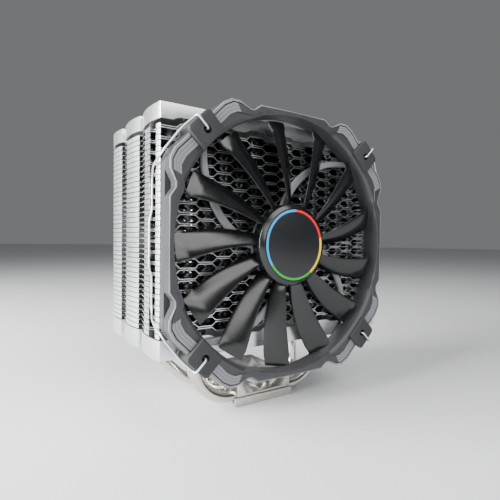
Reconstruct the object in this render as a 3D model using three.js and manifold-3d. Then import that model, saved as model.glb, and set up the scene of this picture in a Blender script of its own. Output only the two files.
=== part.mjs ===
// CPU tower cooler: thirty-eight aluminium fins on four U-shaped heat pipes, standing on a
// small contact base, with a slim 140 mm fan held in front of the stack by two wire clips.
// Units are millimetres. +Z points up, away from the processor. The origin is the centre
// of the cold plate's contact face. The fan is on the -Y side and blows towards +Y.

import * as THREE from "three";
import { mergeVertices } from "three/addons/utils/BufferGeometryUtils.js";
import Module from "manifold-3d";

const wasm = await Module();
wasm.setup();

// ---------------------------------------------------------------- driving dimensions

const GAP = 0.3; // clearance between neighbouring pieces

// Fan, placed by its centre and by the plane of its badge. Depths run back from that plane.
const FAN_Z = 91.5;
const FAN_FRONT = -47.5;
const FAN_DEPTH = 13;
const FAN_BACK = FAN_FRONT + FAN_DEPTH;
const RIM_FRONT = 1.8; // depth of the frame's front face
const FLANGE_FRONT = 8.5; // depth at which the rear flange begins
const BORE_RADIUS = 67.4;
const SCREW_REACH = 52.5 * Math.SQRT2; // centre to a screw hole: holes 105 mm apart
// Half of one side of the frame, from its middle to its cut corner: distance along, distance
// out. The front rim has a notch beside each corner, and the rear flange runs past it.
const RIM_HALF_SIDE = [
  [21.5, 69.8],
  [25.5, 66.9],
  [28, 66.9],
  [34, 69.8],
  [38.5, 69.8],
  [43, 67.4],
];
const FLANGE_HALF_SIDE = [
  [38.5, 69.8],
  [43, 67.4],
];

// Rubber corner pads, each a clip around the frame's corner
const PAD_WIDTH = 15;
const PAD_INNER = 68.5;
const PAD_OUTER = 81;
const PAD_WEB_INNER = 71;
const PAD_WEB_WIDTH = 9;
const PAD_PROUD = 0.5;
const PAD_PLATE = 2.6;
const PAD_HOLE_RADIUS = 2;

// Rotor and motor
const HUB_RADIUS = 21.75;
const HUB_WALL = 1.4;
const HUB_FRONT = 0.1;
const HUB_SHOULDER = 2; // depth at which the sloping rim of the hub meets its side
const HUB_BACK = 10;
const BADGE_RADIUS = 18.9;
const BADGE_THICKNESS = 0.9;
const BLADE_COUNT = 13;
const BLADE_TIP_RADIUS = 65.2;
const BLADE_TIP_ANGLE = -89.2; // leading edge of the first blade's tip, degrees from +X
const BLADE_SWEEP = 8; // degrees that the tip leads the root
const BLADE_ROOT_CHORD = 16; // degrees
const BLADE_TIP_CHORD = 12.3; // degrees
const BLADE_THICKNESS = 1.8; // measured along the axle
const MAGNET_OUTER = 20;
const MAGNET_INNER = 18.7;
const STATOR_RADIUS = 17.8;
const SHAFT_RADIUS = 1.5;
const SLEEVE_OUTER = 3.4;
const SLEEVE_BORE = 1.9;
const BOARD_RADIUS = 17;
const MOTOR_BASE_RADIUS = 20.5;
const MOTOR_BASE_FRONT = 10.4;
const MOTOR_BASE_BACK = 12.6;
const STRUT_COUNT = 4;
const STRUT_WIDTH = 5;
const STRUT_TWIST = 45; // degrees that a strut turns between the rim and the motor base

// Fin stack
const FIN_COUNT = 38;
const FIN_THICKNESS = 0.4;
const FIN_PITCH = 2.65;
const FIRST_FIN_Z = 48.9;
// One side of the stack from front to back, as [half width, y]: three bays, with a narrow
// notch after each of the first two, and a recess in the first bay for the wire clip
const STACK_FRONT = -34.3;
const STACK_BACK = 50.3;
const CLIP_RECESS = [
  [70.6, -29.9],
  [68.7, -29.9],
  [68.7, -22.6],
  [71, -22.6],
];
const FRONT_CORNER = [
  [68.6, STACK_FRONT],
  [70.6, -32],
];
const BAYS = [
  [68.4, -6.6],
  [66.2, -5.7],
  [71, -4.8],
  [69.6, 20.6],
  [66.2, 23],
  [70.4, 25.6],
  [68.6, STACK_BACK],
];
const TOP_CAP = { low: 149, high: 157.2 };
const BOTTOM_CAP = { low: 36.7, high: 47 };
const CAP_WALL = 1.2;

// Heat pipes: where each pipe lies in the base, where its risers stand, and how it bends
const PIPE_RADIUS = 3;
const PIPE_CENTRE_Z = 5.2;
const PIPE_TOP_Z = 151.5;
const PIPE_SLOPE = Math.PI / 4;
const PIPE_BASE_RUN = 21; // half of the straight run in the base
const PIPE_SETTLED_Z = 35.5; // height at which every riser is upright
const PIPES = [
  { baseY: -17, riserX: 43.6, riserY: -17, bend: 22.6 },
  { baseY: -5.7, riserX: 33.5, riserY: -4, bend: 12.5 },
  { baseY: 5.7, riserX: 33.5, riserY: 14, bend: 12.5 },
  { baseY: 17, riserX: 50.8, riserY: 27.5, bend: 22.6 },
];
const PIPE_HOLE_RADIUS = 3.85; // across the corners of the six-sided clearance hole
const GROOVE_RADIUS = 3.6;

// Contact base
const PLATE_HALF_WIDTH = 20;
const PLATE_HALF_DEPTH = 21.5;
const PLATE_TOP = 5;
const BLOCK_HALF_WIDTH = 18.5;
const BLOCK_BOTTOM = PLATE_TOP + GAP;
const BLOCK_TOP = 14.5;
const POCKET_DEPTH = 5;
const POCKET_HALF_WIDTH = 14;
const POCKET_LOW = 9.4;
const RIB_HALF_WIDTH = 3;

// Wire clips. Each row is [distance from the middle plane, y, height from the fan's
// centre], from the hook in the fan's upper hole to the upper end of the finger bow.
const WIRE_RADIUS = 0.6;
const WIRE_PATH = [
  [52.5, -46.1, 52.5],
  [52.5, -48.3, 52.5],
  [53, -49, 53],
  [57.4, -49, 57.4],
  [58, -48.3, 58],
  [58.3, -46.8, 57.7],
  [63.8, -44.4, 52.2],
  [70.4, -41.6, 42.8],
  [71.6, -40, 40.2],
  [71.7, -34, 38],
  [71.6, -30, 36],
  [70.2, -25.6, 32],
  [70.1, -25, 29],
  [70.1, -25, 16],
  [71.4, -25, 11],
];

// ---------------------------------------------------------------- materials

function finish(color, roughness, metalness) {
  return () => new THREE.MeshStandardMaterial({ color, roughness, metalness });
}

const framePlastic = finish(0x55575b, 0.55, 0);
const bladePlastic = finish(0x26282b, 0.35, 0);
const padRubber = finish(0x2a2b2d, 0.85, 0);
const badgePrint = finish(0x1c1e21, 0.4, 0);
const finAluminium = finish(0xd4d6d9, 0.3, 1);
const capAluminium = finish(0xdcdde0, 0.4, 1);
const nickelPlate = finish(0xc6c4be, 0.2, 1);
const springSteel = finish(0xb8babd, 0.25, 1);
const magnetFerrite = finish(0x2b2724, 0.7, 0);
const coilCopper = finish(0x9a5a32, 0.4, 1);
const boardLaminate = finish(0x1f4a33, 0.6, 0);
const bearingBrass = finish(0xa98b4a, 0.35, 1);

// ---------------------------------------------------------------- solids and shapes

// The closed solid of a geometry, ready to be joined or cut
function solidFrom(geometry) {
  const bare = geometry.clone();
  bare.deleteAttribute("normal");
  bare.deleteAttribute("uv");
  const merged = mergeVertices(bare, 1e-4);
  const mesh = new wasm.Mesh({
    numProp: 3,
    vertProperties: merged.attributes.position.array,
    triVerts: new Uint32Array(merged.index.array),
  });
  return new wasm.Manifold(mesh);
}

function geometryFrom(solid) {
  const mesh = solid.getMesh();
  const geometry = new THREE.BufferGeometry();
  geometry.setAttribute("position", new THREE.BufferAttribute(mesh.vertProperties, 3));
  geometry.setIndex(new THREE.BufferAttribute(mesh.triVerts, 1));
  geometry.computeVertexNormals();
  return geometry;
}

function polygon(points) {
  return new THREE.Shape(points.map(([a, b]) => new THREE.Vector2(a, b)));
}

// A regular polygon's corners, with the first corner on the +X side
function ring(radius, sides, centreX = 0, centreY = 0) {
  return Array.from({ length: sides }, (_, i) => {
    const angle = (2 * Math.PI * i) / sides;
    return [centreX + radius * Math.cos(angle), centreY + radius * Math.sin(angle)];
  });
}

// A shape drawn in X and Y, extruded upwards from one height to another
function upright(shape, low, high) {
  const geometry = new THREE.ExtrudeGeometry(shape, { depth: high - low, bevelEnabled: false });
  return geometry.translate(0, 0, low);
}

// A shape drawn in X and Z around the fan's centre, extruded along Y between two depths
function facing(shape, front, back) {
  const geometry = new THREE.ExtrudeGeometry(shape, { depth: back - front, bevelEnabled: false });
  return geometry.rotateX(Math.PI / 2).translate(0, FAN_FRONT + back, FAN_Z);
}

// A profile of [radius, depth] points turned around the fan's axis
function turned(profile, sides) {
  const points = profile.map(([radius, depth]) => new THREE.Vector2(radius, depth));
  return new THREE.LatheGeometry(points, sides).translate(0, FAN_FRONT, FAN_Z);
}

function tube(inner, outer, front, back, sides) {
  const profile = [
    [inner, front],
    [outer, front],
    [outer, back],
    [inner, back],
    [inner, front],
  ];
  return turned(profile, sides);
}

function block(width, depth, height, x, y, z) {
  return new THREE.BoxGeometry(width, depth, height).translate(x, y, z);
}

// A box whose corners are moved by a rule, which gets each corner as shares from 0 to 1
function bentBox(steps, rule) {
  const geometry = new THREE.BoxGeometry(1, 1, 1, ...steps);
  const position = geometry.attributes.position;
  for (let i = 0; i < position.count; i++) {
    const share = [position.getX(i) + 0.5, position.getY(i) + 0.5, position.getZ(i) + 0.5];
    position.setXYZ(i, ...rule(...share));
  }
  return geometry;
}

const { lerp, degToRad, smoothstep } = THREE.MathUtils;

// A point on the fan from its radius, its angle from +X and its depth
function fanPoint(radius, angle, depth) {
  return [radius * Math.cos(angle), FAN_FRONT + depth, FAN_Z + radius * Math.sin(angle)];
}

// A path that runs straight between chosen points, with one section at each of them
class KnotPath extends THREE.Curve {
  constructor(knots) {
    super();
    this.knots = knots.map((knot) => new THREE.Vector3(...knot));
  }

  get spans() {
    return this.knots.length - 1;
  }

  getPoint(t, target = new THREE.Vector3()) {
    const place = t * this.spans;
    const index = Math.min(Math.floor(place + 1e-9), this.spans - 1);
    return target.lerpVectors(this.knots[index], this.knots[index + 1], place - index);
  }

  getPointAt(u, target) {
    return this.getPoint(u, target);
  }

  // The direction halfway between those of the two spans that meet at a knot
  getTangentAt(u, target = new THREE.Vector3()) {
    const nearest = Math.round(u * this.spans);
    const here = this.knots[nearest];
    target.set(0, 0, 0);
    if (nearest > 0) target.add(here.clone().sub(this.knots[nearest - 1]).normalize());
    if (nearest < this.spans) target.add(this.knots[nearest + 1].clone().sub(here).normalize());
    return target.normalize();
  }
}

function swept(radius, sides, knots) {
  const path = new KnotPath(knots);
  return new THREE.ExtrudeGeometry(polygon(ring(radius, sides)), {
    steps: path.spans,
    extrudePath: path,
    bevelEnabled: false,
  });
}

// ---------------------------------------------------------------- fan frame and pads

function frameOutline(half) {
  const side = [...half.map(([along, out]) => [-along, out]).reverse(), ...half];
  const centre = new THREE.Vector2();
  const points = [];
  for (let turn = 0; turn < 4; turn++)
    for (const [along, out] of side)
      points.push(new THREE.Vector2(along, out).rotateAround(centre, (-turn * Math.PI) / 2));
  return new THREE.Shape(points);
}

function frameLayer(half, front, back) {
  const outline = frameOutline(half);
  outline.holes.push(polygon(ring(BORE_RADIUS, 64)));
  return solidFrom(facing(outline, front, back));
}

function frameRim() {
  const rim = frameLayer(RIM_HALF_SIDE, RIM_FRONT, FLANGE_FRONT);
  return rim.add(frameLayer(FLANGE_HALF_SIDE, FLANGE_FRONT, FAN_DEPTH));
}

// A curved arm from the rim at one corner to the motor base
function strut(index) {
  const inner = MOTOR_BASE_RADIUS - 1;
  const outer = BORE_RADIUS + 1.5;
  const start = degToRad(45 + index * 90);
  const geometry = bentBox([6, 1, 1], (along, depth, across) => {
    const radius = lerp(inner, outer, along);
    const middle = start + degToRad(STRUT_TWIST) * (1 - along);
    const angle = middle + ((across - 0.5) * STRUT_WIDTH) / radius;
    return fanPoint(radius, angle, lerp(MOTOR_BASE_FRONT, MOTOR_BASE_BACK, depth));
  });
  return solidFrom(geometry);
}

// The block that a corner pad fills: front plate, back plate and the web between them.
// It is drawn above the fan's centre and turned into its corner.
function padBlock(corner, clearance) {
  const front = FAN_FRONT - PAD_PROUD - clearance;
  const back = FAN_BACK - 0.2 + clearance;
  const plateBack = FAN_FRONT - PAD_PROUD + PAD_PLATE + clearance;
  const rearPlateFront = FAN_BACK - 0.2 - PAD_PLATE + PAD_PROUD - clearance;
  const top = PAD_OUTER + 2 * clearance;
  const span = (low, high) => [high - low, (low + high) / 2];
  const slab = (width, y0, y1, z0) => {
    const [depth, middleY] = span(y0, y1);
    const [height, middleZ] = span(z0 - clearance, top);
    return solidFrom(block(width + 2 * clearance, depth, height, 0, middleY, middleZ));
  };
  return slab(PAD_WIDTH, front, plateBack, PAD_INNER)
    .add(slab(PAD_WIDTH, rearPlateFront, back, PAD_WEB_INNER))
    .add(slab(PAD_WEB_WIDTH, front, back, PAD_WEB_INNER))
    .rotate([0, corner, 0])
    .translate([0, 0, FAN_Z]);
}

function padHole(corner) {
  const hole = new THREE.CylinderGeometry(PAD_HOLE_RADIUS, PAD_HOLE_RADIUS, 2 * FAN_DEPTH, 12);
  return solidFrom(hole.translate(0, FAN_FRONT, SCREW_REACH))
    .rotate([0, corner, 0])
    .translate([0, 0, FAN_Z]);
}

const CORNERS = {
  top_right: 45,
  bottom_right: 135,
  bottom_left: 225,
  top_left: 315,
};

function fanFrame() {
  let frame = frameRim();
  frame = frame.add(solidFrom(motorBase()));
  for (let i = 0; i < STRUT_COUNT; i++) frame = frame.add(strut(i));
  for (const corner of Object.values(CORNERS)) frame = frame.subtract(padBlock(corner, GAP));
  return geometryFrom(frame);
}

// A disc with a blind hole in front for the end of the shaft
function motorBase() {
  const pit = 2.2;
  const pitFloor = 11.6;
  const profile = [
    [0, pitFloor],
    [pit, pitFloor],
    [pit, MOTOR_BASE_FRONT],
    [MOTOR_BASE_RADIUS, MOTOR_BASE_FRONT],
    [MOTOR_BASE_RADIUS, MOTOR_BASE_BACK],
    [0, MOTOR_BASE_BACK],
  ];
  return turned(profile, 32);
}

function cornerPad(corner) {
  return geometryFrom(padBlock(corner, 0).subtract(padHole(corner)));
}

// ---------------------------------------------------------------- motor

function motorStator() {
  const pole = [
    [6.5, -30],
    [14, -9],
    [14.6, -36],
    [STATOR_RADIUS, -38],
    [STATOR_RADIUS, -13],
    [STATOR_RADIUS, 13],
    [STATOR_RADIUS, 38],
    [14.6, 36],
    [14, 9],
    [6.5, 30],
  ];
  const points = [];
  for (let turn = 0; turn < 4; turn++)
    for (const [radius, degrees] of pole) {
      const angle = degToRad(degrees + 90 * turn);
      points.push([radius * Math.cos(angle), radius * Math.sin(angle)]);
    }
  const outline = polygon(points);
  outline.holes.push(polygon(ring(SLEEVE_OUTER + GAP + 0.1, 12)));
  return facing(outline, 5.2, 8.6);
}

function motorBoard() {
  return tube(SLEEVE_OUTER + 1, BOARD_RADIUS, 9, 9.9, 16);
}

function bearingSleeve() {
  return tube(SLEEVE_BORE, SLEEVE_OUTER, 5, 10.1, 12);
}

// ---------------------------------------------------------------- rotor

function hubCup() {
  const recess = BADGE_RADIUS + GAP;
  const recessFloor = HUB_FRONT + BADGE_THICKNESS + GAP;
  const inner = HUB_RADIUS - HUB_WALL;
  const profile = [
    [0, recessFloor],
    [recess, recessFloor],
    [recess, HUB_FRONT],
    [recess + 0.3, HUB_FRONT],
    [HUB_RADIUS, HUB_SHOULDER],
    [HUB_RADIUS, HUB_BACK],
    [inner, HUB_BACK],
    [inner, recessFloor + HUB_WALL],
    [0, recessFloor + HUB_WALL],
  ];
  return turned(profile, 40);
}

// A blade leans back from its leading edge in front to its trailing edge behind, with the
// slope growing towards the trailing edge. Its root is buried in the wall of the hub.
function blade(index) {
  const rootRadius = HUB_RADIUS - HUB_WALL / 2;
  const tipAngle = degToRad(BLADE_TIP_ANGLE + (360 / BLADE_COUNT) * index);
  const geometry = bentBox([3, 1, 5], (chord, skin, span) => {
    const radius = lerp(rootRadius, BLADE_TIP_RADIUS, span);
    const leading = tipAngle - degToRad(BLADE_SWEEP) * (1 - span);
    const angle = leading - degToRad(lerp(BLADE_ROOT_CHORD, BLADE_TIP_CHORD, span)) * chord;
    const front = lerp(3.6, 3, span);
    const back = lerp(8.8, 9.1, span);
    const depth = lerp(front, back, 0.72 * chord + 0.28 * chord * chord);
    return fanPoint(radius, angle, depth + (skin - 0.5) * BLADE_THICKNESS);
  });
  return solidFrom(geometry);
}

function fanRotor() {
  let rotor = solidFrom(hubCup());
  for (let i = 0; i < BLADE_COUNT; i++) rotor = rotor.add(blade(i));
  return geometryFrom(rotor);
}

function hubBadge() {
  const back = HUB_FRONT + BADGE_THICKNESS;
  const profile = [
    [0, HUB_FRONT],
    [BADGE_RADIUS, HUB_FRONT],
    [BADGE_RADIUS, back],
    [0, back],
  ];
  return turned(profile, 40);
}

function rotorShaft() {
  const front = HUB_FRONT + BADGE_THICKNESS + HUB_WALL + 2 * GAP;
  const profile = [
    [0, front],
    [SHAFT_RADIUS, front],
    [SHAFT_RADIUS, 11.2],
    [0, 11.2],
  ];
  return turned(profile, 12);
}

function magnetRing() {
  return tube(MAGNET_INNER, MAGNET_OUTER, 5, 9.6, 24);
}

// ---------------------------------------------------------------- fin stack

// The stack's plan outline, drawn in by an inset all round
function stackOutline(inset, withClipRecess) {
  const recess = withClipRecess ? CLIP_RECESS : [];
  const side = [...FRONT_CORNER, ...recess, ...BAYS].map(([half, y]) => [
    half - inset,
    Math.min(Math.max(y, STACK_FRONT + inset), STACK_BACK - inset),
  ]);
  const otherSide = side.map(([half, y]) => [-half, y]).reverse();
  return polygon([...side, ...otherSide]);
}

function riserPlaces() {
  return PIPES.flatMap(({ riserX, riserY }) => [
    [-riserX, riserY],
    [riserX, riserY],
  ]);
}

function pierced(outline) {
  for (const [x, y] of riserPlaces()) outline.holes.push(polygon(ring(PIPE_HOLE_RADIUS, 6, x, y)));
  return outline;
}

function finPlate(index) {
  const low = FIRST_FIN_Z + index * FIN_PITCH;
  return upright(pierced(stackOutline(0, true)), low, low + FIN_THICKNESS);
}

// A shallow tray: a plate with a skirt all round. The top one opens down, the bottom up.
function topCap() {
  const shell = solidFrom(upright(stackOutline(0, false), TOP_CAP.low, TOP_CAP.high));
  const roof = TOP_CAP.high - CAP_WALL;
  const hollow = upright(stackOutline(CAP_WALL, false), TOP_CAP.low - 1, roof);
  return geometryFrom(shell.subtract(solidFrom(hollow)));
}

function bottomCap() {
  const { low, high } = BOTTOM_CAP;
  const shell = solidFrom(upright(pierced(stackOutline(0, false)), low, high));
  const hollow = upright(stackOutline(CAP_WALL, false), low + CAP_WALL, high + 1);
  return geometryFrom(shell.subtract(solidFrom(hollow)));
}

// ---------------------------------------------------------------- heat pipes and base

// Half of a pipe from its straight run in the base to its tip: a bend up to a slope, a
// bend to upright, then the riser. It moves sideways to its riser's place as it climbs.
function halfPipe({ baseY, riserX, riserY, bend: radius }) {
  const slopeRun = riserX - PIPE_BASE_RUN - radius;
  const turns = [0, 0.5, 1];
  const firstBend = turns.map((share) => {
    const angle = PIPE_SLOPE * share;
    return [PIPE_BASE_RUN + radius * Math.sin(angle), radius * (1 - Math.cos(angle))];
  });
  const secondBend = turns.map((share) => {
    const angle = PIPE_SLOPE + (Math.PI / 2 - PIPE_SLOPE) * share;
    const climb = slopeRun * Math.tan(PIPE_SLOPE);
    return [
      PIPE_BASE_RUN + slopeRun + radius * Math.sin(angle),
      climb + radius * (1 - Math.cos(angle)),
    ];
  });
  if (slopeRun < 1) secondBend.shift();
  const profile = [...firstBend, ...secondBend].map(([x, rise]) => [x, PIPE_CENTRE_Z + rise]);
  for (const z of [23.5, 29.5, PIPE_SETTLED_Z])
    if (z > profile.at(-1)[1] + 2) profile.push([riserX, z]);
  profile.push([riserX, PIPE_TOP_Z]);
  return profile.map(([x, z]) => {
    const share = smoothstep(z, PIPE_CENTRE_Z, PIPE_SETTLED_Z);
    return [x, lerp(baseY, riserY, share), z];
  });
}

function heatPipe(pipe) {
  const right = halfPipe(pipe);
  const left = right.map(([x, y, z]) => [-x, y, z]).reverse();
  return swept(PIPE_RADIUS, 6, [...left, ...right]);
}

function pipeGroove({ baseY }) {
  const groove = new THREE.CylinderGeometry(GROOVE_RADIUS, GROOVE_RADIUS, 4 * PLATE_HALF_WIDTH, 8);
  return solidFrom(groove.rotateZ(Math.PI / 2).translate(0, baseY, PIPE_CENTRE_Z));
}

function grooved(solid) {
  return PIPES.reduce((rest, pipe) => rest.subtract(pipeGroove(pipe)), solid);
}

function coldPlate() {
  const plate = block(2 * PLATE_HALF_WIDTH, 2 * PLATE_HALF_DEPTH, PLATE_TOP, 0, 0, PLATE_TOP / 2);
  return geometryFrom(grooved(solidFrom(plate)));
}

// Two triangular pockets in the front face, with an upright rib between them
function pocket(side) {
  const outline = polygon([
    [side * RIB_HALF_WIDTH, BLOCK_TOP + 1],
    [side * RIB_HALF_WIDTH, POCKET_LOW],
    [side * POCKET_HALF_WIDTH, BLOCK_TOP + 1],
  ]);
  const geometry = new THREE.ExtrudeGeometry(outline, {
    depth: POCKET_DEPTH + 1,
    bevelEnabled: false,
  });
  return solidFrom(geometry.rotateX(Math.PI / 2).translate(0, POCKET_DEPTH - PLATE_HALF_DEPTH, 0));
}

function baseBlock() {
  const height = BLOCK_TOP - BLOCK_BOTTOM;
  const middle = (BLOCK_TOP + BLOCK_BOTTOM) / 2;
  const depth = 2 * PLATE_HALF_DEPTH;
  const body = solidFrom(block(2 * BLOCK_HALF_WIDTH, depth, height, 0, 0, middle));
  return geometryFrom(grooved(body).subtract(pocket(-1)).subtract(pocket(1)));
}

// ---------------------------------------------------------------- wire clips

function fanClip(side) {
  const upper = WIRE_PATH.map(([x, y, rise]) => [side * x, y, FAN_Z + rise]);
  const lower = WIRE_PATH.map(([x, y, rise]) => [side * x, y, FAN_Z - rise]).reverse();
  return swept(WIRE_RADIUS, 6, [...upper, ...lower]);
}

// ---------------------------------------------------------------- assembly

const cooler = new THREE.Group();

function place(name, geometry, material, group = cooler) {
  const mesh = new THREE.Mesh(geometry, material());
  mesh.name = name;
  group.add(mesh);
}

place("cold_plate", coldPlate(), nickelPlate);
place("base_block", baseBlock(), nickelPlate);
PIPES.forEach((pipe, i) => place(`heat_pipe_${i + 1}`, heatPipe(pipe), nickelPlate));
place("bottom_cap", bottomCap(), capAluminium);
for (let i = 0; i < FIN_COUNT; i++)
  place(`fin_${String(i + 1).padStart(2, "0")}`, finPlate(i), finAluminium);
place("top_cap", topCap(), capAluminium);

place("fan_frame", fanFrame(), framePlastic);
for (const [name, corner] of Object.entries(CORNERS))
  place(`corner_pad_${name}`, cornerPad(corner), padRubber);
place("motor_stator", motorStator(), coilCopper);
place("motor_board", motorBoard(), boardLaminate);
place("bearing_sleeve", bearingSleeve(), bearingBrass);

const rotor = new THREE.Group();
cooler.add(rotor);
place("fan_rotor", fanRotor(), bladePlastic, rotor);
place("hub_badge", hubBadge(), badgePrint, rotor);
place("rotor_shaft", rotorShaft(), springSteel, rotor);
place("magnet_ring", magnetRing(), magnetFerrite, rotor);

place("fan_clip_left", fanClip(-1), springSteel);
place("fan_clip_right", fanClip(1), springSteel);

export default cooler;
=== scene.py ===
"""Visual model of a CPU tower cooler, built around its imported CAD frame.

The file is laid out as an add-on and is run as a script. Lengths are metres in the frame's
own axes: +Z up from the contact face, -Y towards the fan's intake, +X to the right of it.
"""

import math

import bmesh
import bpy
from mathutils import Matrix, Vector


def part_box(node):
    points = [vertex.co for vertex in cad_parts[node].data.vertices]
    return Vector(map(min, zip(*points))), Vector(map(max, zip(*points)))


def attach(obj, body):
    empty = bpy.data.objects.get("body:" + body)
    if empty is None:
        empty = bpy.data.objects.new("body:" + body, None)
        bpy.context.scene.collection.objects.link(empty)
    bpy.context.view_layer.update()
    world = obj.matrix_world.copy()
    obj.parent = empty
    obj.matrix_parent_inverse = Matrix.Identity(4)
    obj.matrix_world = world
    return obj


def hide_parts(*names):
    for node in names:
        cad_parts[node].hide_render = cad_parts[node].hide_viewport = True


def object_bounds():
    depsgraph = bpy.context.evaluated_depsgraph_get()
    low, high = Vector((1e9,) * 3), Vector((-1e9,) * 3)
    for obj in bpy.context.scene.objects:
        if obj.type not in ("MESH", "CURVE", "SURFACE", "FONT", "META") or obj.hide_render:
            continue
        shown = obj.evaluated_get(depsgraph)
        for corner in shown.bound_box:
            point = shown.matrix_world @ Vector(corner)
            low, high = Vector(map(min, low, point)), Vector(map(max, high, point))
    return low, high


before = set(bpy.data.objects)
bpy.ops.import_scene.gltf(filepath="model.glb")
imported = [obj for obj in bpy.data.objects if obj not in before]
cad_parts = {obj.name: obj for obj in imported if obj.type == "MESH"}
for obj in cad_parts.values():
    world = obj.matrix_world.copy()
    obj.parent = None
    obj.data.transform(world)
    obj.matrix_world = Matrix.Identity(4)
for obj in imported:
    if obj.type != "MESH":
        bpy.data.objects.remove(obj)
CAD_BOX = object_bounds()

bl_info = {
    "name": "Tower Cooler",
    "version": (1, 0, 0),
    "blender": (4, 5, 0),
    "location": "3D View > Sidebar > Tower Cooler",
    "description": "Builds the visible pieces of a CPU tower cooler around its CAD frame",
    "category": "Object",
}

MM = 0.001

# Places read from the frame
FAN_LOW, FAN_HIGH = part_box("fan_frame")
FAN_BACK = FAN_HIGH.y
FAN_FRONT = FAN_BACK - 13 * MM  # the plane from which depths in the fan are counted
FAN_Z = (FAN_LOW.z + FAN_HIGH.z) / 2
BADGE_LOW, BADGE_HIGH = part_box("hub_badge")
HUB_FRONT = BADGE_LOW.y
BADGE_RADIUS = (BADGE_HIGH.x - BADGE_LOW.x) / 2
STACK_LOW, STACK_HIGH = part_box("fin_01")
STACK_FRONT = STACK_LOW.y
STACK_BACK = STACK_HIGH.y
STACK_HALF_WIDTH = STACK_HIGH.x
FIN_NODES = sorted(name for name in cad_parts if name.startswith("fin_"))
FIN_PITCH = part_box("fin_02")[0].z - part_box("fin_01")[0].z
FIN_THICKNESS = STACK_HIGH.z - STACK_LOW.z
PLATE_LOW, PLATE_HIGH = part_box("cold_plate")
BLOCK_LOW, BLOCK_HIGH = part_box("base_block")

# Angles round the fan, in degrees from +X and anticlockwise as seen from the intake side
CORNERS = {"top_right": 45, "top_left": 135, "bottom_left": 225, "bottom_right": 315}


# ---------------------------------------------------------------- settings


def linear(hex_colour):
    """The linear colour of an sRGB hex value such as #8A8C90."""
    channels = [int(hex_colour[i : i + 2], 16) / 255 for i in (1, 3, 5)]
    return [c / 12.92 if c <= 0.04045 else ((c + 0.055) / 1.055) ** 2.4 for c in channels]


def length(name, description, value_mm):
    """A length setting, given in millimetres and held in metres."""
    return bpy.props.FloatProperty(
        name=name, description=description, default=value_mm * MM, unit="LENGTH", precision=5
    )


def angle(name, description, degrees):
    """An angle setting, given in degrees and held in radians."""
    return bpy.props.FloatProperty(
        name=name, description=description, default=math.radians(degrees), subtype="ANGLE"
    )


def colour(name, description, hex_colour):
    """A colour setting, given as an sRGB hex value."""
    return bpy.props.FloatVectorProperty(
        name=name,
        description=description,
        default=linear(hex_colour),
        subtype="COLOR",
        min=0,
        max=1,
    )


def power(name, description, watts):
    """A light's power, in watts."""
    return bpy.props.FloatProperty(
        name=name, description=description, default=watts, unit="POWER"
    )


class StackSettings(bpy.types.PropertyGroup):
    """Sizes of the fins and the two caps."""

    hive_depth: length("Hive depth", "Front strip of each fin that is bent into cells", 15)
    hive_height: length("Hive height", "Rise or fall of a cell wall from the fin's plane", 0.85)
    hive_flat: length("Hive flat", "Width of the flat top of a cell", 8)
    hive_slope: length("Hive slope", "Width of the sloping side of a cell", 2)
    corner_radius: length("Corner radius", "Rounding of the front corners of the stack", 0.6)
    notch_depth: length("Notch depth", "Depth of the notches between the bays", 4.4)
    tab_gap: length("Tab gap", "Gap between a fin's side tab and the next fin", 0.4)
    collar_height: length("Collar height", "Height of the collar round each pipe", 1.1)
    collar_wall: length("Collar wall", "Wall of the collar round each pipe", 0.4)
    skirt_gap: length("Skirt gap", "How far a cap's skirt stops short of its full height", 0.6)
    cap_wall: length("Cap wall", "Sheet thickness of the two caps", 1)
    cap_bevel: length("Cap bevel", "Rounding along the rim of a cap", 1.2)


class PipeSettings(bpy.types.PropertyGroup):
    """Sizes of the heat pipes."""

    radius: length("Pipe radius", "Half the outside diameter of a heat pipe", 3)
    base_height: length("Base height", "Height of a pipe's middle inside the base", 5.2)
    base_run: length("Base run", "Half the straight length inside the base", 21)
    slope: angle("Slope", "Rise of the slanting stretch of a wide pipe", 45)
    settled: length("Settled height", "Height from which every riser is upright", 35.5)


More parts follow.
